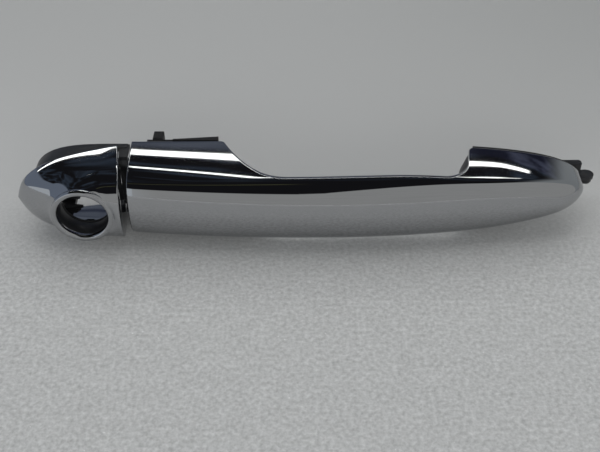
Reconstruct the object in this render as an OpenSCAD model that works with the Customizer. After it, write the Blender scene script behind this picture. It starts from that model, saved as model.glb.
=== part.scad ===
// Outside pull handle of a car's right-hand door, with its lock cap.
// X runs along the car towards the hinge end, Y into the door, Z up.
// The origin is on the lock axis, in the plane of the keyhole's rim.

/* [Grip] */
// X of the grip's flat rear end, measured from the lock axis
grip_x0 = 16.4; // [16.3:0.1:17.5]
// X of the grip's rounded front tip
grip_x1 = 200.9; // [200.5:0.1:201.3]
// Half the width of the bar's rounded outer face
bar_half = 13.5; // [13.2:0.1:13.8]
// Thickness of the bar from its outer face to its back corners
bar_t = 12.5; // [12:0.1:13.5]
// How far the outer face stands out past the keyhole's rim
grip_out = 1.8; // [1.2:0.1:2.2]
// Wall of the plated cover
cover_wall = 2.2; // [2:0.1:2.4]
// Wall of the back shell
back_wall = 2.2; // [2:0.1:2.4]
// How far the back shell's middle stands out past the plated edges
back_bulge = 2.6; // [2:0.1:3]

/* [Feet] */
// Y of the rear foot's flat back
rear_foot_y = 32.4; // [32:0.1:33]
// X where the rear foot's back ends and the arch begins
rear_foot_x1 = 54; // [53:0.5:56]
// Y of the front foot's flat back
front_foot_y = 29.7; // [29.2:0.1:30]
// X where the arch ends and the front foot's back begins
front_foot_x0 = 154.5; // [153.5:0.5:155.5]
// Thickness of the front foot's gasket
gasket_t = 2.4; // [2:0.1:3]

/* [Arms] */
// X of the middle of the latch arm
latch_x = 23.8; // [23.4:0.1:24.2]
// Y of the latch arm's tip
latch_tip_y = 56; // [54:0.5:57]
// X of the pivot stub's axis
pivot_x = 206.3; // [205.8:0.1:206.8]
// Y of the pivot stub's axis
pivot_y = 34.5; // [34.2:0.1:34.8]
// Radius of the pivot stub
pivot_r = 2.45; // [2.3:0.05:2.5]

/* [Lock cap] */
// Radius of the keyhole through the cap
lock_r = 9.85; // [9.6:0.05:10]
// Outer radius of the raised ring around the keyhole
ring_r = 12.4; // [12.2:0.1:12.8]
// X of the cap's rounded rear end
cap_x0 = -28.2; // [-28.6:0.1:-27.8]
// X of the cap's end face at the gap, on its outer side
cap_x1 = 15.2; // [15:0.1:15.4]
// Y of the cap base's flat back
base_y = 30.6; // [30.2:0.1:31]
// Wall of the plated cap
cap_wall = 1.8; // [1.6:0.1:2]

/* [Hidden] */
$fn = 48;
chrome = "#c9ccd1";
black = "#1d1f20";
rubber = "#121313";
steel = "#9a9ea3";
brass = "#b58f4a";
foam = "#3a3b3c";

fit = 0.1;                        // gap between pieces of one body
clear = 0.4;                      // gap between the grip and the fixed pieces
seam = 0.3;                       // step in from a plated rim to the piece inside it

function lerp(a, b, t) = a + (b - a) * t;
function clamp(t) = min(1, max(0, t));
function clamp_to(v, low, high) = max(low, min(high, v));
function ease(t) = let (c = clamp(t)) c * c * (3 - 2 * c);
function ramp(x, x0, x1) = ease((x - x0) / (x1 - x0));
// Half-width of a rounded nose of half-width 1 and depth 1, at a depth u
function nose(u) = sqrt(max(0, 1 - pow(1 - clamp(u), 2.3)));

// --- grip surface --------------------------------------------------------
tip_run = grip_x1 - 95;           // length over which the outer face draws in
// Outermost line of the grip in plan
function crown_y(x) =
    let (rear = max(0, 85 - x) / 69, front = clamp((x - 95) / tip_run),
         tip = clamp((x - grip_x1 + 12.9) / 12.9))
    -grip_out + 4.3 * rear * rear + 14.2 * (1 - pow(1 - pow(front, 1.74), 0.756))
    + 9.2 * (1 - sqrt(1 - tip * tip));
// Value that goes from the rear foot's through the bar's to the front foot's
function along(x, rear, bar, front) =
    lerp(lerp(rear, bar, ramp(x, 8, 100)), front, ramp(x, 121, 165));
// How far the width has drawn in towards the tip
function taper(x) = sqrt(1 - pow(clamp((x - 95) / (grip_x1 - 95)), 3.44));
// Half-width at a depth u behind the outermost line: a rounded nose, whose sides
// then spread and straighten; wall gives the surface that far inside
function half_w(x, u, wall = 0) =
    max(0.2, (taper(x) * along(x, 10.3, bar_half, 11.9) - wall)
             * nose((u - wall) / (along(x, 4.7, 9.8, 6.4) - wall / 2))
         + taper(x) * along(x, 4.4, 1.6, 2.75) * (1 - exp(-u / along(x, 7.5, 9.6, 10.3))));

// Back of the grip in plan: [x, y, corner radius, bulge], from the rear end to the tip
corner = 4.4;                     // back corner radius of the bar
foot_corner = 1.2;                // back corner radius of the feet
arch_len = 27;                    // length of the arch's slope behind the rear foot
arch_r = 10;                      // radius of the arch at the front foot
function bar_back(x) = bar_t - grip_out + 1.7 * ramp(x, 85, 143);
arch_end_y = bar_back(143) + arch_r * 0.9;
back_line = concat(
    [for (x = [grip_x0, 27, 40, rear_foot_x1 - 2.5]) [x, rear_foot_y, foot_corner, 0]],
    [for (i = [0:12]) let (t = i / 12, x = rear_foot_x1 + arch_len * (t + 0.25 * t * t) / 1.25)
        [x, lerp(bar_back(x), rear_foot_y, pow(1 - t, 2.1)),
         lerp(foot_corner, corner, ease(t * 1.2)), back_bulge * ease(t)]],
    [for (x = [90, 100, 112, 124, 135]) [x, bar_back(x), corner, back_bulge]],
    [for (g = [0:10:90]) let (t = g / 90)
        [front_foot_x0 - 2 - arch_r * (1 - sin(g)), bar_back(143) + arch_r * 0.9 * (1 - cos(g)),
         lerp(corner, 1.8, t), back_bulge + 0.8 * t]],
    [for (t = [0.3, 0.6, 0.85]) [front_foot_x0 - 2 + 1.4 * t,
        lerp(arch_end_y, front_foot_y, t), 1.8, (back_bulge + 0.8) * (1 - pow(t, 4))]],
    [[front_foot_x0, front_foot_y, foot_corner, 0]],
    [for (i = [1:20]) [lerp(front_foot_x0, grip_x1 - 0.1, sin(4.5 * i)), front_foot_y,
        foot_corner, 0]]);

// Half-width of the opening that the back shell fills
function slot_w(p) = half_w(p[0], p[1] - p[2] - crown_y(p[0])) - max(cover_wall, p[2]) - 0.06;

// Open line across X, from one lip of the opening around the nose to the other lip
end_lean = 1.4;                   // how far the flat end slants from its back to its outer face
function mirrored(half, x, yo, d, lean) =
    [for (q = concat(half, [for (i = [len(half) - 2:-1:0]) [half[i][0], -half[i][1]]]))
        [x + lean * (1 - q[0] / d), yo + q[0], q[1]]];
function outer_line(p, lean = 0) =
    let (x = p[0], yo = crown_y(x), d = p[1] - yo,
         c = min(p[2], d * 0.4, half_w(x, d) * 0.45),
         v = half_w(x, d - c), lip = clamp_to(slot_w(p), 0.1, v - c - 0.05),
         bend = [for (g = [90:-22.5:22.5]) [d - c * (1 - sin(g)), max(0.1, v - c * (1 - cos(g)))]],
         side = [for (i = [11:-1:1]) let (u = (d - c) * pow(i / 11, 1.8)) [u, half_w(x, u)]])
    mirrored(concat([[d, lip]], bend, side, [[0, 0]]), x, yo, d, lean);
function inner_line(p, lean = 0) =
    let (x = p[0], yo = crown_y(x), d = p[1] - yo, w = cover_wall, t = max(1, p[2] / 2),
         side = [for (i = [7:-1:1]) let (u = w + (d - w - t) * pow(i / 7, 1.8))
             [u, half_w(x, u, w)]])
    mirrored(concat([[d - t, slot_w(p)]], side, [[w, 0]]), x, yo, d, lean);

function total(ring, k, i = 0) = i == len(ring) ? 0 : ring[i][k] + total(ring, k, i + 1);
function middle(ring) = [for (k = [0:2]) total(ring, k) / len(ring)];

// Polyhedron through rings of equal length, each end closed by a fan about its middle
module loft(rings) {
    n = len(rings[0]);
    m = len(rings);
    polyhedron(
        points = concat([for (r = rings) each r], [middle(rings[0]), middle(rings[m - 1])]),
        faces = concat(
            [for (i = [0:n - 1]) [m * n, i, (i + 1) % n]],
            [for (j = [0:m - 2], i = [0:n - 1]) let (k = (i + 1) % n)
                each [[j * n + i, (j + 1) * n + i, (j + 1) * n + k],
                      [j * n + i, (j + 1) * n + k, j * n + k]]],
            [for (i = [0:n - 1]) [m * n + 1, (m - 1) * n + (i + 1) % n, (m - 1) * n + i]]));
}

// Closed shell between outer lines and the inner lines of stations first..last,
// open along the back between the lips and solid beyond both ends
module shell(outer, inner, first, last) {
    n = len(outer[0]);
    k = len(inner[0]);
    m = len(outer);
    base = n * m;
    ends = base + k * len(inner);
    hole = [for (j = [first, last]) let (r = inner[j - first]) middle(r)];
    function o(j, i) = j * n + i;
    function q(j, i) = base + (j - first) * k + i;
    function rim(j) = concat([for (i = [0:k - 1]) q(j, i)], [o(j, n - 1), o(j, 0)]);
    function patch(a, b, c, d) = [[a, c, b], [a, d, c]];
    polyhedron(
        points = concat([for (r = outer) each r], [for (r = inner) each r],
                        [middle(outer[0]), middle(outer[m - 1])], hole),
        faces = concat(
            [for (i = [0:n - 1]) [ends, i, (i + 1) % n]],
            [for (i = [0:n - 1]) [ends + 1, o(m - 1, (i + 1) % n), o(m - 1, i)]],
            [for (j = [0:m - 2], i = [0:n - 2])
                each patch(o(j, i), o(j, i + 1), o(j + 1, i + 1), o(j + 1, i))],
            [for (j = [0:m - 2]) if (j < first || j >= last)
                each patch(o(j, n - 1), o(j, 0), o(j + 1, 0), o(j + 1, n - 1))],
            [for (j = [first:last - 1], i = [0:k - 2])
                each patch(q(j, i + 1), q(j, i), q(j + 1, i), q(j + 1, i + 1))],
            [for (j = [first:last - 1])
                each patch(q(j, 0), o(j, 0), o(j + 1, 0), q(j + 1, 0))],
            [for (j = [first:last - 1])
                each patch(o(j, n - 1), q(j, k - 1), q(j + 1, k - 1), o(j + 1, n - 1))],
            [let (r = rim(first)) for (i = [0:k + 1]) [ends + 2, r[(i + 1) % (k + 2)], r[i]]],
            [let (r = rim(last)) for (i = [0:k + 1]) [ends + 3, r[i], r[(i + 1) % (k + 2)]]]));
}

inner_x0 = grip_x0 + cover_wall + end_lean;
inner_x1 = grip_x1 - 5;
cover_line = concat([back_line[0], [inner_x0, rear_foot_y, foot_corner, 0]],
                    [for (i = [1:len(back_line) - 1]) back_line[i]]);
open_count = len([for (p = cover_line) if (p[0] < inner_x1) p]);

slot_line = [for (i = [0:open_count - 2]) let (p = back_line[i])
    [clamp_to(p[0], inner_x0 + fit, cover_line[open_count - 1][0] - fit), p[1], p[2], p[3]]];

// Unit normal of the back line in plan, pointing out of the grip
function side_normal(line, i) =
    let (a = line[max(0, i - 1)], b = line[min(len(line) - 1, i + 1)],
         d = [b[0] - a[0], b[1] - a[1]], s = norm(d)) [-d[1] / s, d[0] / s];

// Height of the back shell's crown at c, from 0 in the middle to 1 at its edge
function crown_of(c) = 1 - pow(abs(c), 2.6);

// Sheet that follows the back line: from depth d0 to depth d1, g narrower on each side
module back_sheet(d0, d1, g) {
    cols = [for (c = [-1:0.25:1]) c];
    loft([for (i = [0:len(slot_line) - 1])
        let (p = slot_line[i], n = side_normal(slot_line, i), w = slot_w(p) - g)
        concat(
            [for (c = cols) let (h = p[3] * crown_of(c) - d0)
                [p[0] + n[0] * h, p[1] + n[1] * h, w * c]],
            [for (k = [len(cols) - 1:-1:0]) let (c = cols[k], h = p[3] * crown_of(c) - d1)
                [p[0] + n[0] * h, p[1] + n[1] * h, (w - 0.4 * abs(n[0])) * c]])]);
}

module along_y(x, y, z = 0) { translate([x, y, z]) rotate([-90, 0, 0]) children(); }
module block(x0, x1, y0, y1, z0, z1) {
    translate([x0, y0, z0]) cube([x1 - x0, y1 - y0, z1 - z0]);
}

// Pan-head screw whose head sits on y and whose shank runs towards -Y
module screw(x, y, z, r, length) {
    along_y(x, y, z) difference() {
        cylinder(r = 2 * r, h = 1.4 * r);
        translate([0, 0, 0.7 * r]) cylinder(r = 0.7 * r, h = r, $fn = 6);
    }
    along_y(x, y - length, z) cylinder(r = r, h = length);
}

// --- grip ----------------------------------------------------------------
module grip_cover() {
    color(chrome) shell(
        [for (i = [0:len(cover_line) - 1]) outer_line(cover_line[i], i == 0 ? end_lean : 0)],
        [for (i = [1:open_count - 1]) inner_line(cover_line[i])],
        1, open_count - 1);
}

rear_screw_x = 44;
front_screw_x = 164.4;
screw_r = 1.5;
head_sink = 1.4;                  // how far the screw heads are let into the back shell
arm_slot_x0 = 183;                // hinge arm's way out through the front foot
arm_slot_x1 = 193;
module grip_back() {
    color(black) difference() {
        back_sheet(seam, seam + back_wall, fit);
        block(latch_x - 2.6, latch_x + 2.6, 20, 40, -4.4, 4.4);
        block(arm_slot_x0 - 0.5, arm_slot_x1 + 0.5, 20, 40, -6.2, 4);
        along_y(rear_screw_x, 20) cylinder(r = screw_r + fit, h = 20);
        along_y(rear_screw_x, rear_foot_y - head_sink) cylinder(r = 2 * screw_r + 0.3, h = 5);
        along_y(front_screw_x, 20) cylinder(r = screw_r + fit, h = 20);
        along_y(front_screw_x, front_foot_y - head_sink) cylinder(r = 2 * screw_r + 0.3, h = 5);
    }
}

core_half = 5;                    // half the core's height
shell_in = seam + back_wall + fit;
latch_seat_y = 14;                // where the latch arm's foot sits on the core
hinge_seat_y = 19;                // where the hinge arm's foot sits on the core
core_x0 = 21;
core_x1 = 186;
core_back = [for (i = [0:len(slot_line) - 1])
    let (p = slot_line[i], n = side_normal(slot_line, i))
    if (p[0] > 36 && p[0] < 172 && abs(p[0] - front_foot_x0) > 2)
        [p[0] - n[0] * shell_in, p[1] - n[1] * shell_in]];
core_front = [for (x = [core_x1:-5:core_x0])
    [x, crown_y(x) + cover_wall + 1.6 + 2 * ramp(x, 150, 186)]];
arm_screw_r = 1.25;
latch_screw_x = [30.2, 35.4];
hinge_screw_x = [174.5, 180];
module grip_core() {
    color(black) difference() {
        translate([0, 0, -core_half]) linear_extrude(2 * core_half)
            polygon(concat([[core_x0, latch_seat_y], [38, latch_seat_y]], core_back,
                [[171, hinge_seat_y], [core_x1, hinge_seat_y]], core_front));
        along_y(rear_screw_x, 12) cylinder(r = screw_r, h = 30);
        along_y(front_screw_x, 12) cylinder(r = screw_r, h = 30);
        for (x = latch_screw_x) along_y(x, latch_seat_y - 7) cylinder(r = arm_screw_r, h = 10);
        for (x = hinge_screw_x) along_y(x, hinge_seat_y - 6) cylinder(r = arm_screw_r, h = 10);
    }
}

module cover_pads() {
    color(foam) for (x = [82, 94])
        translate([x, crown_y(x) + cover_wall + 0.5, -3.5]) cube([10, 1, 7]);
}

module grip_screws() {
    color(steel) {
        screw(rear_screw_x, rear_foot_y - head_sink, 0, screw_r, 12);
        screw(front_screw_x, front_foot_y - head_sink, 0, screw_r, 12);
    }
}

// --- arms ----------------------------------------------------------------
blade_t = 3.2;                    // thickness of the latch arm's blade
blade_z1 = 3.2;                   // top of the blade
foot_t = 3;                       // thickness of each arm's screwed foot
tip_block = 6;                    // length of the latch arm's tip inside its buffer
module latch_arm() {
    x0 = latch_x - blade_t / 2;
    x1 = latch_x + blade_t / 2;
    color(black) difference() {
        union() {
            block(x0, x1, latch_seat_y, latch_tip_y - 0.7, -3, blade_z1);
            block(x0, 38, latch_seat_y, latch_seat_y + foot_t, -4.6, 4.6);
        }
        block(x0 - 1, x1 + 1, 44.5, 47, -3.1, 0.4);
        for (x = latch_screw_x) along_y(x, latch_seat_y - 1) cylinder(r = arm_screw_r + fit, h = 6);
    }
}

module latch_buffer() {
    color(rubber) difference() {
        block(latch_x - 2.2, latch_x + 2.2, latch_tip_y - tip_block, latch_tip_y, -3.6, 3.8);
        block(latch_x - blade_t / 2, latch_x + blade_t / 2, 40, latch_tip_y - 0.7, -3, blade_z1);
    }
}

module latch_arm_screws() {
    color(steel) for (x = latch_screw_x) screw(x, latch_seat_y + foot_t, 0, arm_screw_r, 9);
}

arm_z0 = -5.1;                    // underside of the hinge arm
arm_z1 = 1.7;                     // top of the hinge arm
reach_y0 = 33.6;                  // hinge arm's run forward, behind the door skin
reach_y1 = 37.1;
reach_x1 = 203.4;
tongue_t = 1.6;
eye_r = pivot_r + 0.5;            // radius of the arm's end around the stub
stub_z0 = -7.6;
module hinge_arm() {
    color(black) difference() {
        union() {
            block(172.5, arm_slot_x1 - 5, hinge_seat_y, hinge_seat_y + foot_t, -4.6, 4.6);
            translate([0, 0, arm_z0]) linear_extrude(arm_z1 - arm_z0)
                polygon([[184, hinge_seat_y], [188, hinge_seat_y], [191.5, 25],
                    [191.5, reach_y0], [reach_x1 - 0.8, reach_y0], [reach_x1, reach_y0 + 0.8],
                    [reach_x1, reach_y1 - 0.8], [reach_x1 - 0.8, reach_y1], [188, reach_y1],
                    [184, reach_y1 - 4]]);
            block(reach_x1 - 2, pivot_x, pivot_y - eye_r, pivot_y + eye_r - 0.1,
                arm_z0, arm_z0 + tongue_t);
            translate([pivot_x, pivot_y, arm_z0]) cylinder(r = eye_r, h = tongue_t);
            translate([pivot_x, pivot_y, stub_z0 + 0.8])
                cylinder(r = pivot_r, h = arm_z0 + tongue_t - stub_z0 - 0.8);
            translate([pivot_x, pivot_y, stub_z0]) cylinder(r1 = pivot_r - 0.5, r2 = pivot_r, h = 0.8);
        }
        for (x = hinge_screw_x) along_y(x, hinge_seat_y - 1) cylinder(r = arm_screw_r + fit, h = 6);
    }
}

module hinge_pad() {
    color(rubber) block(190, reach_x1 - 2, reach_y1, reach_y1 + 1, arm_z0 + 1, arm_z1 - 1);
}

module hinge_arm_screws() {
    color(steel) for (x = hinge_screw_x) screw(x, hinge_seat_y + foot_t, 0, arm_screw_r, 8);
}

// --- gaskets -------------------------------------------------------------
// Outline of a foot's back in X and Z, g inside the plated edge
function foot_outline(x0, x1, y, g) =
    let (xs = [for (t = [0:1 / 14:1]) lerp(x0, x1, sin(90 * t))],
         w = [for (x = xs) max(0.6, half_w(x, y - crown_y(x)) - g)])
    concat([for (i = [0:14]) [xs[i], w[i]]], [for (i = [14:-1:0]) [xs[i], -w[i]]]);

module front_gasket() {
    y0 = front_foot_y + clear;
    color(rubber) difference() {
        translate([0, y0 + gasket_t, 0]) rotate([90, 0, 0]) linear_extrude(gasket_t)
            polygon(foot_outline(front_foot_x0 + 1.5, grip_x1 - 3, front_foot_y, 1.5));
        block(arm_slot_x0 - 1.5, grip_x1, 20, 40, -6, 3);
        along_y(front_screw_x, 20) cylinder(r = 4, h = 20);
    }
}

wedge_x0 = 34.6;                  // where the rear gasket starts to thicken
wedge_x1 = 51.7;
wedge_thin = 0.9;
wedge_thick = 2.6;
module rear_gasket() {
    y0 = rear_foot_y + clear;
    color(rubber) difference() {
        union() {
            block(17.6, 22.6, y0, y0 + wedge_thin, -11.5, 11.5);
            block(22.6, 33.2, y0, y0 + wedge_thin, -14.2, 14.2);
            translate([0, 0, -14.6]) linear_extrude(29.2)
                polygon([[33.2, y0], [wedge_x1, y0], [wedge_x1, y0 + wedge_thick],
                    [wedge_x0, y0 + wedge_thin], [33.2, y0 + wedge_thin]]);
        }
        block(latch_x - 3.6, latch_x + 4.6, 20, 40, -5, 5);
        along_y(rear_screw_x, 20) cylinder(r = 4, h = 20);
    }
}

// --- lock cap ------------------------------------------------------------
cap_len = cap_x1 - cap_x0;
nose_y = 14.2;                    // Y of the cap's rearmost point
function cap_t(x) = clamp((cap_x1 - x) / cap_len);
function cap_crown(x) = -1.1 + 14.8 * (1 - pow(1 - pow(cap_t(x), 2.3), 0.83));
// Value that goes from the gap's to the rear end's
function cap_along(x, gap, end) = lerp(gap, end, cap_t(x));
function cap_taper(x) = sqrt(1 - pow(cap_t(x), 6.7));
// Half-width of the cap at a depth u; g gives the surface that far inside
function cap_w(x, u, g = 0) =
    max(0.2, (cap_taper(x) * cap_along(x, 11.6, 7) - g)
             * nose(u / (cap_along(x, 6.8, 4.4) - g / 2))
         + cap_taper(x) * cap_along(x, 4.35, 5.9)
             * (1 - exp(-(u + max(0, g)) / cap_along(x, 13.3, 2.1))));
rim_y = 27.9;                     // Y of the plated rim at the gap
rim_drop = 14.4;                  // how much further out the rim lies at the rear end
function cap_rim(x) = rim_y - rim_drop * pow(cap_t(x), 1.55);
function cap_back(x, back) = let (f = clamp((cap_x0 + 3 - x) / 3)) lerp(nose_y, back, sqrt(1 - f * f));
cap_stations = [for (i = [0:22]) cap_x1 - (cap_len - 0.05) * sin(90 * i / 22)];

// Half-turned section of the cap, with its end face leaning by lean at the back
function cap_section(x, yo, back, g, lean) =
    let (d = max(0.5, back - yo),
         half = [for (i = [0:14]) let (u = d * pow(i / 14, 1.9)) [u, i == 0 ? 0 : cap_w(x, u, g)]])
    [for (q = concat(half, [for (i = [14:-1:1]) [half[i][0], -half[i][1]]]))
        [x - lean * pow(q[0] / 30, 1.5), yo + q[0], q[1]]];

end_fall = 4;                     // how far the end face falls back over its depth
module cap_solid(g, x0, x1, back) {
    loft([for (x = cap_stations) if (x < x1 - 0.01 || x == cap_x1)
        let (xx = min(x, x1), f = clamp((cap_x0 + 3 - xx) / 3))
        cap_section(xx, cap_crown(xx) + g, cap_back(xx, back), g,
            end_fall * ramp(xx, x1 - 14, x1))]);
}

module rim_cut(over, drop = 0) {
    pts = [for (x = [cap_x1 + 2:-4:cap_x0 - 6]) [x, cap_rim(x) - drop]];
    translate([0, 0, -30]) linear_extrude(60)
        polygon(concat(pts, [[cap_x0 - 6, over], [cap_x1 + 2, over]]));
}

ring_round = 1.1;                 // rounding of the ring's outer and inner edges
collar_y0 = 2.4;                  // where the collar starts behind the keyhole's rim
collar_y1 = 9.4;
collar_r = 11.2;                  // outer radius of the collar
module key_ring() {
    rotate([90, 0, 0]) rotate_extrude(convexity = 4) {
        translate([collar_r, -7]) square([ring_r - collar_r, 7 - ring_round]);
        translate([lock_r, -collar_y0]) square([ring_r - lock_r, collar_y0 - ring_round]);
        translate([lock_r + ring_round, -ring_round])
            square([ring_r - lock_r - 2 * ring_round, ring_round]);
        for (r = [lock_r + ring_round, ring_r - ring_round])
            translate([r, -ring_round]) circle(r = ring_round, $fn = 32);
    }
}

boss_x = 7.5;                     // where the base is screwed to the cover
boss_z = 11;
boss_r = 1.7;
cap_screw_r = 0.9;
module key_cap_cover() {
    color(chrome) union() {
        difference() {
            union() {
                difference() {
                    cap_solid(0, cap_x0, cap_x1, rim_y);
                    cap_solid(cap_wall, cap_x0, cap_x1 - cap_wall, rim_y + 3);
                    rim_cut(50);
                }
                for (z = [-boss_z, boss_z]) along_y(boss_x, 4.5, z) cylinder(r = boss_r, h = 20);
            }
            along_y(0, -5) cylinder(r = (collar_r + ring_r) / 2, h = 40);
            along_y(0, -3) cylinder(r1 = ring_r + 4.2, r2 = ring_r, h = 3);
            for (z = [-boss_z, boss_z]) along_y(boss_x, 15, z) cylinder(r = cap_screw_r, h = 20);
        }
        key_ring();
    }
}

module lock_collar() {
    color(black) along_y(0, collar_y0) difference() {
        cylinder(r = collar_r, h = collar_y1 - collar_y0);
        translate([0, 0, -1]) cylinder(r = lock_r, h = 20);
    }
}

module collar_seal() {
    color(rubber) along_y(0, collar_y1) difference() {
        cylinder(r = collar_r, h = 1.4);
        translate([0, 0, -1]) cylinder(r = lock_r, h = 5);
    }
}

// Outline of the cap's black base in X and Z, g inside its edge
base_x0 = -24.4;
base_half = 14.2;
function base_outline(g) =
    let (n = 16, r = base_half - g, l = cap_x1 - base_x0 - g,
         p = [for (i = [0:n]) let (t = sin(90 * i / n)) [cap_x1 - l * t, r * sqrt(1 - pow(t, 3.9))]])
    concat(p, [for (i = [n - 1:-1:0]) [p[i][0], -p[i][1]]]);
module base_prism(g, y0, y1) {
    translate([0, y1, 0]) rotate([90, 0, 0]) linear_extrude(y1 - y0) polygon(base_outline(g));
}

skirt_t = 2;                      // wall of the base's skirt
plate_t = 2.2;                    // thickness of the base's back plate
tongue_x1 = 15.9;                 // where the base ends behind the gap
tongue_y0 = 21.5;
window_z = 12.3;                  // the windows in the base's tongue run from 7.4 to this
insert_x = -16.5;
insert_r = 3.2;
insert_y0 = 22.6;
module key_cap_base() {
    color(black) difference() {
        union() {
            difference() {
                intersection() {
                    base_prism(0, 15, base_y);
                    rim_cut(50, -fit);
                }
                base_prism(skirt_t, 10, base_y - plate_t);
            }
            difference() {
                base_prism(cap_wall + 1.2, 24.6, base_y - 1);
                base_prism(cap_wall + 1.2 + skirt_t, 20, base_y - plate_t);
                block(9.2, 20, 20, base_y - plate_t, -20, 20);
            }
            difference() {
                block(cap_x1 - 6, tongue_x1, tongue_y0, base_y, -13.9, 13.9);
                translate([0.4, 0, 0]) cap_solid(-fit, cap_x0, cap_x1, rim_y + 8);
            }
            along_y(insert_x, insert_y0 - 2) cylinder(r = insert_r + 1.8, h = base_y - insert_y0 + 2);
        }
        block(-9, 2.5, 23.4, base_y + 1, -20, -9.5);
        for (side = [0, 1]) mirror([0, 0, side])
            block(10.8, 20, 15, base_y + 1, 7.4, window_z);
        along_y(0, 10) cylinder(r = collar_r + 0.5, h = 30);
        along_y(insert_x, insert_y0) cylinder(r = insert_r, h = 20);
        for (z = [-boss_z, boss_z]) {
            along_y(boss_x, 10, z) cylinder(r = cap_screw_r + fit, h = 30);
            along_y(boss_x, base_y - 1, z) cylinder(r = 2 * cap_screw_r + 0.2, h = 5);
            along_y(boss_x, 10, z) cylinder(r = boss_r + fit, h = 14.6);
        }
    }
}

module key_cap_insert() {
    color(brass) along_y(insert_x, insert_y0) difference() {
        cylinder(r = insert_r, h = base_y - insert_y0);
        translate([0, 0, -1]) cylinder(r = 2.1, h = 20);
    }
}

module key_cap_screws() {
    color(steel) for (z = [-boss_z, boss_z])
        screw(boss_x, base_y - 1, z, cap_screw_r, 10);
}

module key_cap_gasket() {
    color(rubber) difference() {
        base_prism(0.6, base_y, base_y + 0.8);
        block(-9, 20, base_y - 1, base_y + 2, -20, -5);
        block(10.4, 20, base_y - 1, base_y + 2, -20, 20);
        along_y(0, base_y - 1) cylinder(r = collar_r + 1, h = 5);
        along_y(insert_x, base_y - 1) cylinder(r = insert_r + 1, h = 5);
        for (z = [-boss_z, boss_z]) along_y(boss_x, base_y - 1, z) cylinder(r = 2.2, h = 5);
    }
}

grip_cover();
grip_back();
grip_core();
hinge_arm();
hinge_arm_screws();
latch_arm();
latch_arm_screws();
latch_buffer();
grip_screws();
cover_pads();
front_gasket();
rear_gasket();
key_cap_cover();
key_cap_base();
lock_collar();
collar_seal();
key_cap_insert();
key_cap_screws();
key_cap_gasket();
hinge_pad();
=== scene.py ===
"""Chrome door handle with its lock cap, lying on a pale speckled table.

Lengths are in millimetres up to make() and cutter(), which turn them into metres. The table, the
lamps and the camera are placed in metres.
X runs along the handle to its hinge end, Y into the door, Z up.
"""

import math

import bmesh
import bpy
import numpy as np
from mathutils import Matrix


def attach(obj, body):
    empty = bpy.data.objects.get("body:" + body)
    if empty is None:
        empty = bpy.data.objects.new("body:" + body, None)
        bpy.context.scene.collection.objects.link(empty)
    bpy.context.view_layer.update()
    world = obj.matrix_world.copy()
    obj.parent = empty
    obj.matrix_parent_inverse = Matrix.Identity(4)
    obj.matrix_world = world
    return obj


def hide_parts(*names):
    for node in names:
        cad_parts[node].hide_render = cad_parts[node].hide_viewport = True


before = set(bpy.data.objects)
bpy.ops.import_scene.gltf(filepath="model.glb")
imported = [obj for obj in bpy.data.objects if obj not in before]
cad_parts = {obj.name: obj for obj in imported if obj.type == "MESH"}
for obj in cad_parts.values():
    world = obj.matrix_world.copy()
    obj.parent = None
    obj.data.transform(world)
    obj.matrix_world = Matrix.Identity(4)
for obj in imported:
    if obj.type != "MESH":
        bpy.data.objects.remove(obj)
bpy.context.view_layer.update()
MM = 0.001


# --- node helpers ----------------------------------------------------------
class Value:
    """A socket, or a number, that arithmetic turns into math nodes."""

    def __init__(self, tree, socket):
        self.tree, self.socket = tree, socket

    def _math(self, operation, *others):
        node = self.tree.nodes.new("ShaderNodeMath")
        node.operation = operation
        for i, v in enumerate((self, *others)):
            if isinstance(v, Value):
                self.tree.links.new(v.socket, node.inputs[i])
            else:
                node.inputs[i].default_value = v
        return Value(self.tree, node.outputs[0])

    def __add__(self, v):
        return self._math("ADD", v)

    def __sub__(self, v):
        return self._math("SUBTRACT", v)

    def __mul__(self, v):
        return self._math("MULTIPLY", v)

    def __neg__(self):
        return self._math("MULTIPLY", -1.0)

    def high(self, v):
        return self._math("MAXIMUM", v)

    def angle(self, v):
        return self._math("ARCTAN2", v) * math.degrees(1)

    def size(self):
        return self._math("ABSOLUTE")

    def rise(self, start, end):
        """0 below start, 1 above end, and smooth between them."""
        node = self.tree.nodes.new("ShaderNodeMapRange")
        node.interpolation_type = "SMOOTHSTEP"
        self.tree.links.new(self.socket, node.inputs[0])
        node.inputs[1].default_value = start
        node.inputs[2].default_value = end
        return Value(self.tree, node.outputs[0])

    def near(self, centre, half, soft):
        """1 within half of centre, falling to 0 over soft."""
        away = (self - centre).size()
        return away.rise(half + soft, half)


def colour_mix(tree, below, above, mask):
    node = tree.nodes.new("ShaderNodeMix")
    node.data_type = "RGBA"
    tree.links.new(mask.socket, node.inputs[0])
    for slot, colour in ((6, below), (7, above)):
        if isinstance(colour, tuple):
            node.inputs[slot].default_value = (*colour, 1)
        else:
            tree.links.new(colour, node.inputs[slot])
    return node.outputs[2]


def noise(tree, vector, scale, detail=2.0, rough=0.5):
    node = tree.nodes.new("ShaderNodeTexNoise")
    tree.links.new(vector, node.inputs["Vector"])
    node.inputs["Scale"].default_value = scale
    node.inputs["Detail"].default_value = detail
    node.inputs["Roughness"].default_value = rough
    return Value(tree, node.outputs["Fac"])


def stretched(tree, vector, scale):
    node = tree.nodes.new("ShaderNodeMapping")
    node.inputs["Scale"].default_value = scale
    tree.links.new(vector, node.inputs["Vector"])
    return node.outputs[0]


# --- materials -------------------------------------------------------------
GRAIN_HEIGHT = 0.00005            # metres


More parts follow.
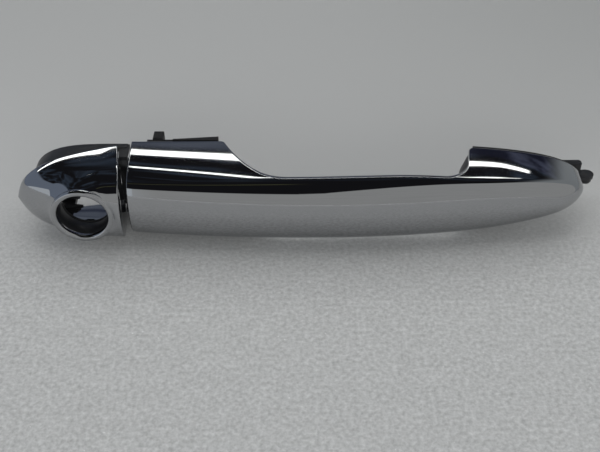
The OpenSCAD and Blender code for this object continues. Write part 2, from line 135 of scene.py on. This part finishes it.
def material(name, colour, metallic, roughness, grain, bump, spread=0.15):
    """Principled finish with a fine grain in its roughness and its surface."""
    mat = bpy.data.materials.new(name)
    mat.use_nodes = True
    tree = mat.node_tree
    shader = tree.nodes["Principled BSDF"]
    place = tree.nodes.new("ShaderNodeTexCoord").outputs["Object"]
    shader.inputs["Base Color"].default_value = (*colour, 1)
    shader.inputs["Metallic"].default_value = metallic
    fine = noise(tree, place, grain, 3)
    rough = (fine - 0.5) * (roughness * spread * 2) + roughness
    tree.links.new(rough.socket, shader.inputs["Roughness"])
    if bump:
        node = tree.nodes.new("ShaderNodeBump")
        node.inputs["Strength"].default_value = bump
        node.inputs["Distance"].default_value = GRAIN_HEIGHT
        tree.links.new(fine.socket, node.inputs["Height"])
        tree.links.new(node.outputs[0], shader.inputs["Normal"])
    return mat


FINISH = {
    "plated_trim": material("plated_trim", (0.43, 0.435, 0.445), 1.0, 0.035, 60, 0.0, 0.5),
    "black_plastic": material("black_plastic", (0.014, 0.0145, 0.016), 0.0, 0.42, 2500, 0.35),
    "seal_rubber": material("seal_rubber", (0.012, 0.012, 0.0125), 0.0, 0.62, 1800, 0.4),
    "foam": material("foam", (0.05, 0.05, 0.055), 0.0, 0.9, 2500, 0.8),
    "screw_steel": material("screw_steel", (0.5, 0.51, 0.53), 1.0, 0.3, 3000, 0.2),
    "insert_brass": material("insert_brass", (0.62, 0.45, 0.2), 1.0, 0.32, 3000, 0.2),
}


# --- mesh helpers ----------------------------------------------------------
def make(name, parts, slot, body, node=None):
    """One smooth piece from (points, faces) pairs, in millimetres."""
    points, faces = [], []
    for p, f in parts:
        faces += [tuple(len(points) + i for i in face) for face in f]
        points += [tuple(v) for v in (np.asarray(p) * MM).tolist()]
    mesh = bpy.data.meshes.new(name)
    mesh.from_pydata(points, [], faces)
    work = bmesh.new()
    work.from_mesh(mesh)
    bmesh.ops.remove_doubles(work, verts=work.verts, dist=1e-6)
    bmesh.ops.dissolve_degenerate(work, edges=work.edges, dist=1e-7)
    for face in work.faces:
        face.smooth = True
    work.to_mesh(mesh)
    work.free()
    obj = bpy.data.objects.new(name, mesh)
    bpy.context.scene.collection.objects.link(obj)
    mesh.materials.append(FINISH[slot])
    if body:
        if node:
            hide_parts(node)
        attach(obj, body)
    return obj


def grid(rings, closed=False, flip=False):
    """Faces between neighbouring rings of equal length."""
    rings = np.asarray(rings)
    m, n = rings.shape[:2]
    faces = []
    for j in range(m - 1):
        for i in range(n if closed else n - 1):
            k = (i + 1) % n
            face = (j * n + i, j * n + k, (j + 1) * n + k, (j + 1) * n + i)
            faces.append(face[::-1] if flip else face)
    return rings.reshape(-1, 3), faces


def cut(obj, cutters):
    """Takes the cutters away from obj for good."""
    for c in cutters:
        mod = obj.modifiers.new("cut", "BOOLEAN")
        mod.operation, mod.solver, mod.object = "DIFFERENCE", "EXACT", c
    view = bpy.context.evaluated_depsgraph_get()
    mesh = bpy.data.meshes.new_from_object(obj.evaluated_get(view))
    obj.modifiers.clear()
    obj.data = mesh
    for c in cutters:
        bpy.data.objects.remove(c)


def cutter(kind, *dims):
    """Box (x0, x1, y0, y1, z0, z1) or a cylinder along Y (x, y0, y1, z, r)."""
    work = bmesh.new()
    if kind == "box":
        x0, x1, y0, y1, z0, z1 = dims
        bmesh.ops.create_cube(work, size=1)
        for v in work.verts:
            v.co = (x0 + (v.co.x + 0.5) * (x1 - x0), y0 + (v.co.y + 0.5) * (y1 - y0),
                    z0 + (v.co.z + 0.5) * (z1 - z0))
    else:
        x, y0, y1, z, r = dims
        bmesh.ops.create_cone(work, cap_ends=True, segments=64, radius1=r, radius2=r, depth=1)
        for v in work.verts:
            v.co = (x + v.co.x, y0 + (v.co.z + 0.5) * (y1 - y0), z + v.co.y)
        bmesh.ops.recalc_face_normals(work, faces=work.faces)
    for v in work.verts:
        v.co *= MM
    mesh = bpy.data.meshes.new("cutter")
    work.to_mesh(mesh)
    work.free()
    obj = bpy.data.objects.new("cutter", mesh)
    bpy.context.scene.collection.objects.link(obj)
    return obj


def soften(obj, width):
    """Small rounded edges and smooth faces, by modifiers alone."""
    weld = obj.modifiers.new("weld", "WELD")
    weld.merge_threshold = 1e-6
    flat = obj.modifiers.new("flat", "DECIMATE")
    flat.decimate_type, flat.angle_limit = "DISSOLVE", math.radians(0.4)
    bevel = obj.modifiers.new("edges", "BEVEL")
    bevel.width, bevel.segments = width * MM, 3
    bevel.limit_method, bevel.angle_limit = "ANGLE", math.radians(30)
    bevel.harden_normals = True
    bevel.use_clamp_overlap = True
    for face in obj.data.polygons:
        face.use_smooth = True


# --- grip surface ----------------------------------------------------------
GRIP_X0, GRIP_X1, GRIP_OUT = 16.4, 200.9, 1.8
INNER_X0, INNER_X1 = 20.0, 195.7            # where the shell is open at the back
REAR_Y, REAR_X1 = 32.4, 54.0                # back of the rear foot
FRONT_Y, FRONT_X0 = 29.7, 154.5             # back of the front foot
COVER_WALL, CORNER, FOOT_CORNER, BULGE = 2.2, 4.4, 1.2, 2.6
END_LEAN = 1.4                              # lean of the flat rear end
CROWN_X0, CROWN_X1 = 85, 95                 # between these the outer line is straight
REAR_RUN, REAR_DRAW = 69, 4.3               # draw-in of the outer line to the rear
FRONT_DRAW, TIP_DRAW, TIP_RUN = 14.2, 9.2, 12.9
REAR_BLEND, FRONT_BLEND = (8, 100), (121, 165)
# Section at the rear, at the bar and at the front
NOSE_HALF, NOSE_DEPTH = (10.3, 13.5, 11.9), (4.7, 9.8, 6.4)
FLARE, FLARE_RUN = (4.4, 1.6, 2.75), (7.5, 9.6, 10.3)
BAR_DEPTH, BAR_SWELL, BAR_X1 = 12.5, 1.7, 143
ARCH_RUN, TURN_X, TURN_Y = 27, 10, 9        # the rear arch, and the turn up to the front foot
TURN_CORNER, TURN_BULGE = 1.8, 0.8
FOOT_STEP, FOOT_LEAN = 2, 1.4               # the front foot's near-upright side
LINE_END = 196.2                            # the tip's own stations take over here


def lerp(a, b, t):
    return a + (b - a) * t


def clamp(t, low=0.0, high=1.0):
    return np.clip(t, low, high)


def ramp(x, x0, x1):
    c = clamp((x - x0) / (x1 - x0))
    return c * c * (3 - 2 * c)


def nose(u):
    """Half-width of a rounded nose of half-width 1 and depth 1, at depth u."""
    return np.sqrt(np.maximum(0, 1 - (1 - clamp(u)) ** 2.3))


def crown_y(x):
    """Outermost line of the grip in plan."""
    rear = np.maximum(0, CROWN_X0 - x) / REAR_RUN
    front = clamp((x - CROWN_X1) / (GRIP_X1 - CROWN_X1))
    tip = clamp((x - GRIP_X1 + TIP_RUN) / TIP_RUN)
    return (-GRIP_OUT + REAR_DRAW * rear**2 + FRONT_DRAW * (1 - (1 - front**1.74) ** 0.756)
            + TIP_DRAW * (1 - np.sqrt(1 - tip**2)))


def along(x, rear, bar, front):
    return lerp(lerp(rear, bar, ramp(x, *REAR_BLEND)), front, ramp(x, *FRONT_BLEND))


def half_w(x, u):
    """Half-width of the grip at depth u behind its outermost line."""
    taper = np.sqrt(1 - clamp((x - CROWN_X1) / (GRIP_X1 - CROWN_X1)) ** 3.44)
    spread = 1 - np.exp(-u / along(x, *FLARE_RUN))
    return taper * (along(x, *NOSE_HALF) * nose(u / along(x, *NOSE_DEPTH))
                    + along(x, *FLARE) * spread)


def bar_back(x):
    return BAR_DEPTH - GRIP_OUT + BAR_SWELL * ramp(x, CROWN_X0, BAR_X1)


def back_line():
    """Rows of x, y, corner radius and bulge along the grip's back."""
    rows = [(x, REAR_Y, FOOT_CORNER, 0) for x in np.linspace(GRIP_X0, REAR_X1 - 0.6, 60)]
    for t in np.linspace(0.015, 1, 90):
        x = REAR_X1 + ARCH_RUN * (t + 0.25 * t * t) / 1.25
        y = lerp(bar_back(x), REAR_Y, (1 - t) ** 2.1)
        rows.append((x, y, lerp(FOOT_CORNER, CORNER, ramp(t * 1.2, 0, 1)), BULGE * ramp(t, 0, 1)))
    rows += [(x, bar_back(x), CORNER, BULGE)
             for x in np.linspace(REAR_X1 + ARCH_RUN + 0.5, BAR_X1, 120)]
    turn_x, low, side_bulge = FRONT_X0 - FOOT_STEP, bar_back(BAR_X1), BULGE + TURN_BULGE
    for t in np.linspace(0.02, 1, 40):
        g = t * math.pi / 2
        rows.append((turn_x - TURN_X * (1 - math.sin(g)), low + TURN_Y * (1 - math.cos(g)),
                     lerp(CORNER, TURN_CORNER, t), BULGE + TURN_BULGE * t))
    for t in np.linspace(0.05, 0.88, 20):
        rows.append((turn_x + FOOT_LEAN * t, lerp(low + TURN_Y, FRONT_Y, t), TURN_CORNER,
                     side_bulge * (1 - t**4)))
    rows += [(x, FRONT_Y, FOOT_CORNER, 0) for x in np.linspace(FRONT_X0 + 0.5, LINE_END + 0.4, 90)]
    return np.array(rows)


def evened(line, spacing=0.3, reach=6, softness=2.6):
    """The line at equal steps, with its kinks smoothed over a few of them."""
    step = np.r_[0, np.cumsum(np.hypot(np.diff(line[:, 0]), np.diff(line[:, 1])))]
    s = np.arange(0, step[-1], spacing)
    line = np.stack([np.interp(s, step, line[:, k]) for k in range(4)], 1)
    weight = np.exp(-(np.arange(-reach, reach + 1) / softness) ** 2)
    weight /= weight.sum()
    before, after = 2 * line[0] - line[reach:0:-1], 2 * line[-1] - line[-2:-reach - 2:-1]
    padded = np.concatenate([before, line, after])
    return np.stack([np.convolve(padded[:, k], weight, "valid") for k in range(4)], 1)


LINE = evened(back_line())


def slot_w(x, y, c):
    """Half-width of the opening in the shell's back."""
    return half_w(x, y - c - crown_y(x)) - np.maximum(COVER_WALL, c) - 0.06


def grip_ring(x, y, corner, open_back, inset=0.0, lean=0.0):
    """Line across the grip from one lip around the nose to the other lip."""
    yo = crown_y(x)
    d = y - yo
    c = min(corner, d * 0.4, half_w(x, d) * 0.45)
    v = half_w(x, d - c)
    lip = float(clamp(slot_w(x, y, corner), 0.1, max(0.1, v - c - 0.05))) if open_back else 0.0
    edge = min(0.35, max(0.0, v - c - lip)) if open_back else 0.0
    deep = 1.6 if open_back else 0.0
    lips = [(d - deep, lip), (d - edge, lip), (d - 0.3 * edge, lip + 0.3 * edge), (d, lip + edge)]
    g = np.radians(np.linspace(90, 6, 12))
    bend = np.stack([d - c * (1 - np.sin(g)), np.maximum(0.02, v - c * (1 - np.cos(g)))], 1)
    u = (d - c) * np.linspace(1, 0, 60)[:-1] ** 1.8
    side = np.stack([u, half_w(x, u)], 1)
    half = np.concatenate([lips, bend, side])
    wide = half[:, 1].max()
    half[:, 0] = inset + half[:, 0] * (d - 2 * inset) / d
    half[:, 1] *= 1 - inset / wide
    back = half[::-1] * (1, -1)
    ring = np.concatenate([half, [(inset, 0.0)], back])
    return np.stack([x + lean * (1 - ring[:, 0] / d), yo + ring[:, 0], ring[:, 1]], 1)


def tip_stations():
    """Stations that crowd together towards the tip."""
    run = 4.7 * np.linspace(1, 0.02, 34)[1:] ** 2
    return [(GRIP_X1 - r, FRONT_Y, FOOT_CORNER) for r in run]


def grip_plating():
    """Outer shell: closed rear end, open back over the core, closed tip."""
    edge = 0.45
    rings = []
    for a in np.radians(np.linspace(0, 90, 7)):
        x = GRIP_X0 + edge * (1 - math.cos(a))
        rings.append(grip_ring(x, REAR_Y, FOOT_CORNER, False, edge * (1 - math.sin(a)), END_LEAN))
    face = rings[0]
    mid = np.array([0, (face[:, 1].min() + face[:, 1].max()) / 2, 0])
    discs = []
    for s in np.linspace(0.02, 1, 12):
        disc = mid + (face - mid) * (0, s, s)
        disc[:, 0] = GRIP_X0 + END_LEAN * (REAR_Y - disc[:, 1]) / (REAR_Y - crown_y(GRIP_X0))
        discs.append(disc)
    rings = discs[:-1] + rings
    stations = [tuple(p[:3]) for p in LINE if GRIP_X0 + edge + 0.1 < p[0] < LINE_END] + tip_stations()
    was_open = False
    for x, y, c in stations:
        lean = END_LEAN * float(clamp((INNER_X0 - x) / (INNER_X0 - GRIP_X0 - edge)))
        is_open = INNER_X0 <= x < INNER_X1
        if is_open != was_open:
            rings.append(grip_ring(x, y, c, was_open, 0.0, lean))
        rings.append(grip_ring(x, y, c, is_open, 0.0, lean))
        was_open = is_open
    return make("grip_plating", [grid(rings)], "plated_trim", "grip", "grip_cover")


SHEET = 2.5                                 # depth of the back shell's inner face
THROUGH = (20, 40)                          # Y span that cuts right through the back
ARM_SLOTS = (((21.2, 26.4), (-4.4, 4.4)), ((182.5, 193.5), (-6.2, 4)))
SCREW_SEATS = ((44, 31), (164.4, 28.3))     # X, and Y of the countersink's floor
SHANK_R, HEAD_R = 1.6, 3.3


def sparse(line, slope):
    """Indices of the line's rows, dense only where it bends."""
    keep = [0]
    for i in range(1, len(line)):
        last = keep[-1]
        bent = np.hypot(*(slope[i] - slope[last])) > 0.03
        if bent or i - last >= 12 or i == len(line) - 1:
            keep.append(i)
    return keep


def back_shell():
    """Crowned black sheet in the shell's opening, with its slots and screw holes."""
    line = LINE[(LINE[:, 0] > INNER_X0 + 0.1) & (LINE[:, 0] < INNER_X1 - 0.1)]
    slope = np.gradient(line[:, :2], axis=0)
    slope /= np.linalg.norm(slope, axis=1, keepdims=True)
    cols = np.linspace(-1, 1, 29)
    rise = 1 - np.abs(cols) ** 2.6
    rings = []
    for i in sparse(line, slope):
        x, y, c, bulge = line[i]
        n = np.array([-slope[i][1], slope[i][0]])
        w = float(slot_w(x, y, c)) - 0.1
        top = [(bulge * r - 0.3, (w - 0.22) * q) for q, r in zip(cols, rise)]
        top = [(-0.62, -w), (-0.37, -w + 0.07)] + top + [(-0.37, w - 0.07), (-0.62, w)]
        low = [(bulge * r - SHEET, (w - 0.4 * abs(n[0])) * q) for q, r in zip(cols[::-2], rise[::-2])]
        rings.append([(x + n[0] * h, y + n[1] * h, z) for h, z in top + low])
    rings = np.array(rings)
    n = rings.shape[1]
    points, faces = grid(rings, closed=True, flip=True)
    last = len(points) - n
    faces += [tuple(range(n)), tuple(last + n - 1 - i for i in range(n))]
    obj = make("back_shell", [(points, faces)], "black_plastic", "grip", "grip_back")
    work = bmesh.new()
    work.from_mesh(obj.data)
    bmesh.ops.recalc_face_normals(work, faces=work.faces)
    work.to_mesh(obj.data)
    work.free()
    slots = [cutter("box", *span_x, *THROUGH, *span_z) for span_x, span_z in ARM_SLOTS]
    holes = []
    for x, seat_y in SCREW_SEATS:
        holes.append(cutter("rod", x, *THROUGH, 0, SHANK_R))
        holes.append(cutter("rod", x, seat_y, THROUGH[1], 0, HEAD_R))
    cut(obj, slots + holes)
    smooth_by_angle(obj, 32)
    return obj


def smooth_by_angle(obj, degrees):
    """Marks the edges that turn by more than degrees as sharp."""
    mesh = obj.data
    for face in mesh.polygons:
        face.use_smooth = True
    mesh.set_sharp_from_angle(angle=math.radians(degrees))


# --- lock cap --------------------------------------------------------------
CAP_X0, CAP_X1, NOSE_Y = -28.2, 15.2, 14.2
LOCK_R, RING_R, COLLAR_R, RING_ROUND = 9.85, 12.4, 11.2, 1.1
END_FALL, FALL_DEPTH, CAP_WALL = 4.0, 30, 1.8   # how the end face at the gap leans back
CAP_OUT, CAP_DRAW = 1.1, 14.8                   # outermost line, and its draw-in to the nose
# Section at the gap and at the nose
CAP_HALF, CAP_DEPTH = (11.6, 7), (6.8, 4.4)
CAP_FLARE, CAP_FLARE_RUN = (4.35, 5.9), (13.3, 2.1)
RIM_Y, RIM_DROP = 27.9, 14.4
FRONT_SIDE = 12                                 # Y below which a point is on the outer side
HIDDEN_R = 12.0                                 # the ring covers the surface inside this
FILLET = 3.4                                    # width of the hollow around the ring


def cap_t(x):
    """0 at the gap, 1 at the nose."""
    return clamp((CAP_X1 - x) / (CAP_X1 - CAP_X0))


def cap_crown(x):
    return -CAP_OUT + CAP_DRAW * (1 - (1 - cap_t(x) ** 2.3) ** 0.83)


def cap_half_w(x, u):
    t = cap_t(x)
    spread = lerp(*CAP_FLARE, t) * (1 - np.exp(-u / lerp(*CAP_FLARE_RUN, t)))
    return np.sqrt(1 - t**6.7) * (lerp(*CAP_HALF, t) * nose(u / lerp(*CAP_DEPTH, t)) + spread)


def cap_rim(x):
    return RIM_Y - RIM_DROP * cap_t(x) ** 1.55


def leaned(x, depth, fall):
    """X of a section's point, drawn back by its depth."""
    return x - fall * (depth / FALL_DEPTH) ** 1.5


def cap_point(x, u, fall):
    """Point of the cap's outer surface at depth u of the section at x."""
    half = np.where(u <= 0, 0, np.maximum(0.02, cap_half_w(x, u)))
    return np.stack([leaned(x, u, fall), cap_crown(x) + u, half], -1)


def cap_half_ring(x, fall, inset=0.0, forward=0.0, wall=0.0, count=70):
    """Side of the cap's section from the rim to the outermost line."""
    yo = cap_crown(x)
    depth = 0.0
    end = x
    for _ in range(4):
        f = clamp((CAP_X0 + 3 - end) / 3)
        rim = lerp(NOSE_Y, cap_rim(end), np.sqrt(1 - f * f))
        depth = max(0.02, float(rim - yo))
        end = leaned(x, depth, fall)
    depth -= inset
    u = depth * np.linspace(1, 0, count) ** 1.9
    pts = cap_point(np.full(count, x), u, fall)
    if inset or wall:
        gap = inset + wall
        tangent = np.gradient(pts[:, 1:], axis=0)
        tangent /= np.linalg.norm(tangent, axis=1, keepdims=True) + 1e-9
        pts[:, 1] -= gap * tangent[:, 1]
        pts[:, 2] += gap * tangent[:, 0]
        pts[:, 2] = np.maximum(0, pts[:, 2])
        pts[-1, 1], pts[-1, 2] = yo + gap, 0
    pts[:, 0] += forward
    return pts


def mirror(half):
    """The whole section from its upper half."""
    return np.concatenate([half, half[-2::-1] * (1, 1, -1)])


def near_ring(points):
    """Draws the cap's surface out to the keyhole's ring in a hollow fillet."""
    r = np.hypot(points[..., 0], points[..., 2])
    outside = points[..., 1] < FRONT_SIDE
    t = clamp((r - RING_R + 0.15) / FILLET)
    pull = np.where(outside, (1 - t) ** 2.6, 0)
    target = clamp(points[..., 1], 0.25, 1.5)
    points[..., 1] = lerp(points[..., 1], target, pull)
    return points


def end_face(ring):
    """Rings that close the cap's leaning end inside its rounded edge."""
    mid = np.array([0, 16.0, 0])
    discs = []
    for k in np.linspace(1, 0.02, 14)[1:]:
        disc = mid + (ring - mid) * (1, k, k)
        depth = np.maximum(0, disc[:, 1] - cap_crown(CAP_X1))
        disc[:, 0] = leaned(CAP_X1, depth, END_FALL)
        discs.append(disc)
    return discs[::-1]


def open_keyhole(points, faces, back, test):
    """Leaves out the faces within the keyhole's ring."""
    inside = (np.hypot(points[:, 0], points[:, 2]) < HIDDEN_R) & (points[:, 1] < back)
    return [f for f in faces if not test(inside[i] for i in f)]


def cap_plating():
    """Plated cap: rounded end at the gap, closed nose, wall and open keyhole."""
    edge = 0.5
    s = np.sin(np.linspace(0, math.pi / 2, 190))
    xs = (CAP_X1 - edge) - (CAP_X1 - edge - CAP_X0 - 0.02) * s
    rings = []
    for a in np.radians(np.linspace(0, 90, 7)):
        rings.append(mirror(cap_half_ring(CAP_X1 - edge, END_FALL, edge * (1 - math.cos(a)),
                                          edge * math.sin(a))))
    discs = end_face(rings[-1])
    rings = discs + rings[::-1]
    falls = END_FALL * ramp(xs, CAP_X1 - 14, CAP_X1 - edge)
    rings += [mirror(cap_half_ring(x, f)) for x, f in zip(xs[1:], falls[1:])]
    outer = near_ring(np.array(rings))
    points, faces = grid(outer, flip=True)
    faces = open_keyhole(points, faces, FRONT_SIDE, all)
    inner = []
    for x, f in zip(xs, falls):
        x_in = min(max(x, CAP_X0 + CAP_WALL), CAP_X1 - CAP_WALL)
        inner.append(mirror(cap_half_ring(x_in, f, wall=CAP_WALL)))
    inner = np.array(inner)
    p_in, f_in = grid(inner)
    f_in = open_keyhole(p_in, f_in, FRONT_SIDE + 2, any)
    body = outer[len(discs) + 6:]
    rims = [grid(np.stack([body[:, k], inner[:, k]]), flip=(k == 0)) for k in (0, -1)]
    return make("cap_plating", [(points, faces), (p_in, f_in), *rims], "plated_trim",
                "door_side", "key_cap_cover")


def turned(name, profile, slot, body, node=None):
    """Piece of revolution about the lock's axis from (radius, y) points."""
    a = np.linspace(0, 2 * math.pi, 160, endpoint=False)
    rings = [[(r * math.cos(t), y, r * math.sin(t)) for t in a] for r, y in profile]
    return make(name, [grid(rings, closed=True)], slot, body, node)


def arc(cx, cy, r, a0, a1, count=9):
    return [(cx + r * math.cos(t), cy + r * math.sin(t))
            for t in np.radians(np.linspace(a0, a1, count))]


RING_BACK, LEDGE_Y = 7.0, 2.4     # back of the ring, and its ledge in front of the sleeve
COLLAR_Y0, COLLAR_Y1, ROUND = 2.45, 9.4, 0.2


def key_ring():
    outer, inner, rr = RING_R, LOCK_R, RING_ROUND
    profile = [(outer, RING_BACK), (outer, rr + 0.02)]
    profile += arc(outer - rr, rr, rr, 0, -90)
    profile += arc(inner + rr, rr, rr, -90, -180)
    profile += [(inner, LEDGE_Y - 0.15), (inner + 0.15, LEDGE_Y), (COLLAR_R, LEDGE_Y)]
    profile += [(COLLAR_R, RING_BACK), (outer, RING_BACK)]
    return turned("key_ring", profile, "plated_trim", "door_side")


def lock_collar():
    outer = COLLAR_R - 0.05
    profile = [(LOCK_R, COLLAR_Y1 - ROUND), (LOCK_R, COLLAR_Y0 + ROUND),
               (LOCK_R + ROUND, COLLAR_Y0), (outer, COLLAR_Y0), (outer, COLLAR_Y1),
               (LOCK_R + ROUND, COLLAR_Y1), (LOCK_R, COLLAR_Y1 - ROUND)]
    return turned("collar", profile, "black_plastic", "door_side", node="lock_collar")


grip_plating()
back_shell()
cap_plating()
key_ring()
lock_collar()

# --- the other pieces, rounded and given their finishes --------------------
FINISHES = {                      # finish, and the width of the rounded edges
    "hinge_arm": ("black_plastic", 0.35),
    "latch_arm": ("black_plastic", 0.3),
    "latch_buffer": ("seal_rubber", 0.5),
    "rear_gasket": ("seal_rubber", 0.25),
    "front_gasket": ("seal_rubber", 0.3),
    "key_cap_gasket": ("seal_rubber", 0.2),
    "key_cap_base": ("black_plastic", 0.18),
    "grip_core": ("black_plastic", 0.3),
    "hinge_pad": ("seal_rubber", 0.2),
    "cover_pads": ("foam", 0.2),
    "collar_seal": ("seal_rubber", 0.1),
    "key_cap_insert": ("insert_brass", 0.15),
    "key_cap_screws": ("screw_steel", 0.1),
    "grip_screws": ("screw_steel", 0.15),
    "latch_arm_screws": ("screw_steel", 0.12),
    "hinge_arm_screws": ("screw_steel", 0.12),
}
for name, (slot, width) in FINISHES.items():
    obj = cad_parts[name]
    obj.data.materials.clear()
    obj.data.materials.append(FINISH[slot])
    soften(obj, width)


# --- table -----------------------------------------------------------------
TABLE_X, TABLE_Y, TABLE_Z, TABLE_SIZE = 0.09, 1.0, -16.6 * MM, 6     # metres
TABLE_DARK, TABLE_PALE = (0.38, 0.385, 0.38), (0.68, 0.685, 0.68)
# White for the painted glint specks, near-black for the painted shade of the far table.
GLINT_SPECK, FAR_SHADE = (1.0, 1.0, 1.0), (0.0, 0.01, 0.0)


def table_material():
    """Pale stone: its grain and painted glint specks show near the handle and fade away behind it,
    and painted shade darkens it further back.
    """
    mat = bpy.data.materials.new("table")
    mat.use_nodes = True
    tree = mat.node_tree
    shader = tree.nodes["Principled BSDF"]
    place = tree.nodes.new("ShaderNodeTexCoord").outputs["Object"]
    split = tree.nodes.new("ShaderNodeSeparateXYZ")
    tree.links.new(place, split.inputs[0])
    x, y = Value(tree, split.outputs[0]) + TABLE_X, Value(tree, split.outputs[1]) + TABLE_Y
    fade = y.rise(0.06, -0.03)
    # Painted shade: the table darkens further behind the handle and towards its right-hand back.
    painted_far_shade = y.rise(-0.06, 0.26) * 0.17 + x.rise(0.05, 0.3) * y.rise(-0.02, 0.1) * 0.10
    grain = noise(tree, place, 620, 3, 0.65)
    patch = noise(tree, place, 140, 2, 0.5)
    shade = (grain - 0.5) * 1.9 * fade + (patch - 0.5) * 0.3 * fade + 0.5
    base = colour_mix(tree, TABLE_DARK, TABLE_PALE, shade)
    # Painted highlights: white specks in the colour stand in for the glints of the table's film.
    glint_cells = tree.nodes.new("ShaderNodeTexVoronoi")
    tree.links.new(place, glint_cells.inputs["Vector"])
    glint_cells.inputs["Scale"].default_value = 420
    glint_spot = Value(tree, glint_cells.outputs["Distance"]).rise(0.10, 0.04)
    pick = noise(tree, place, 75, 1).rise(0.56, 0.66)
    base = colour_mix(tree, base, GLINT_SPECK, glint_spot * pick * fade)
    # Mixes in the painted shade of the far table.
    base = colour_mix(tree, base, FAR_SHADE, painted_far_shade)
    tree.links.new(base, shader.inputs["Base Color"])
    shader.inputs["Roughness"].default_value = 0.55
    shader.inputs["Specular IOR Level"].default_value = 0.25
    bump = tree.nodes.new("ShaderNodeBump")
    bump.inputs["Distance"].default_value = 0.0006
    tree.links.new((fade * 0.5).socket, bump.inputs["Strength"])
    tree.links.new(grain.socket, bump.inputs["Height"])
    tree.links.new(bump.outputs[0], shader.inputs["Normal"])
    return mat


bpy.ops.mesh.primitive_plane_add(size=TABLE_SIZE, location=(TABLE_X, TABLE_Y, TABLE_Z))
table = bpy.context.object
table.name = "table_top"
table.data.materials.append(table_material())


# --- surroundings ----------------------------------------------------------
# The plating mirrors these bands of the room. A band's place is its turn about the X axis in
# degrees: 0 is level towards the camera, 90 straight up and 180 level into the door.
CEILING_TURN, TUBE_A_TURN, TUBE_B_TURN, OLIVE_TURN = 144, 142.2, 132.7, 80
PALE_TURN, PALE_SLOPE = 32, 115             # top of the pale floor, and its rise to the hinge end
SHADOW, SHADOW_BLUE = (0.012, 0.012, 0.014), (0.045, 0.06, 0.085)
CEILING, CEILING_GREY = (0.035, 0.042, 0.07), (0.14, 0.16, 0.20)
NAVY, NAVY_GREY = (0.018, 0.02, 0.035), (0.09, 0.10, 0.15)
OLIVE, RIGHT_GREY, LEFT_BLUE = (0.12, 0.12, 0.06), (0.29, 0.31, 0.32), (0.20, 0.235, 0.30)
FLOOR, FLOOR_PALE, FLOOR_LEFT = (0.38, 0.385, 0.38), (0.46, 0.465, 0.46), (0.62, 0.66, 0.70)
TUBE_A, TUBE_B = (4.2, 4.25, 4.1), (4.0, 4.05, 3.9)


def surroundings():
    """A dark room with a dim ceiling, two light tubes and a pale floor."""
    world = bpy.data.worlds.new("room")
    bpy.context.scene.world = world
    world.use_nodes = True
    tree = world.node_tree
    place = tree.nodes.new("ShaderNodeTexCoord").outputs["Generated"]
    split = tree.nodes.new("ShaderNodeSeparateXYZ")
    tree.links.new(place, split.inputs[0])
    x, y, z = (Value(tree, split.outputs[i]) for i in range(3))
    turn = z.angle(-y)
    cloud = noise(tree, stretched(tree, place, (1, 3, 3)), 5.5, 3)
    dark = colour_mix(tree, SHADOW, SHADOW_BLUE, cloud.rise(0.45, 0.7) * turn.rise(96, 112))
    ceiling = colour_mix(tree, CEILING, CEILING_GREY, cloud.rise(0.35, 0.65))
    navy = colour_mix(tree, NAVY, NAVY_GREY, cloud.rise(0.45, 0.7))
    ceiling = colour_mix(tree, ceiling, navy, x.rise(0.05, 0.2))
    col = colour_mix(tree, dark, ceiling, turn.rise(CEILING_TURN - 0.6, CEILING_TURN + 0.6))
    olive = turn.near(OLIVE_TURN, 0.8, 1.2) * x.rise(0.02, -0.05)
    col = colour_mix(tree, col, OLIVE, olive)
    col = colour_mix(tree, col, RIGHT_GREY, x.rise(0.48, 0.62))
    col = colour_mix(tree, col, LEFT_BLUE, x.rise(-0.60, -0.66))
    edge = x.high(0.0) * PALE_SLOPE + PALE_TURN
    pale = (turn - edge).rise(1.5, -1.5) * turn.rise(-100, -99)
    low = colour_mix(tree, FLOOR, FLOOR_PALE, cloud)
    low = colour_mix(tree, low, FLOOR_LEFT, x.rise(-0.3, -0.5))
    col = colour_mix(tree, col, low, pale)
    bend = x.rise(0.1, 0.28) * -1.2
    tube_a = (turn - bend).near(TUBE_A_TURN, 0.8, 0.25) * x.near(-0.10, 0.52, 0.02)
    tube_b = turn.near(TUBE_B_TURN, 0.5, 0.25) * x.near(0.10, 0.305, 0.02)
    col = colour_mix(tree, col, TUBE_A, tube_a)
    col = colour_mix(tree, col, TUBE_B, tube_b)
    shader = tree.nodes["Background"]
    tree.links.new(col, shader.inputs["Color"])


surroundings()

# --- lamps -----------------------------------------------------------------
AIM = (0.08, 0, 0)


def lamp(name, where, width, height, watts):
    """Soft panel aimed at the handle, unseen in the plating."""
    light = bpy.data.lights.new(name, "AREA")
    light.shape, light.size, light.size_y, light.energy = "RECTANGLE", width, height, watts
    obj = bpy.data.objects.new(name, light)
    bpy.context.scene.collection.objects.link(obj)
    obj.location = where
    dx, dy, dz = np.array(AIM) - np.array(where)
    obj.rotation_euler = (math.atan2(math.hypot(dx, dy), -dz), 0, math.atan2(-dx, dy))
    obj.visible_glossy = False


lamp("soft_top", (0.05, 0.45, 1.2), 2.0, 1.4, 9.5)
lamp("soft_front", (0.1, -1.6, 0.42), 2.4, 0.7, 17.0)
lamp("soft_left", (-1.5, 0.1, 0.6), 1.6, 0.8, 4.5)
lamp("soft_right", (1.7, 0.1, 0.6), 1.6, 0.8, 4.0)
lamp("soft_back", (0.1, 1.7, 0.7), 2.0, 0.8, 2.5)

# --- camera ----------------------------------------------------------------
lens = bpy.data.cameras.new("camera")
lens.lens, lens.sensor_width = 54, 36
lens.clip_start, lens.clip_end = 0.01, 20
camera = bpy.data.objects.new("camera", lens)
bpy.context.scene.collection.objects.link(camera)
camera.location = (0.0852, -0.2752, 0.2187)
camera.rotation_euler = (math.radians(51), 0, 0)
bpy.context.scene.camera = camera
bpy.context.scene.view_settings.view_transform = "Standard"
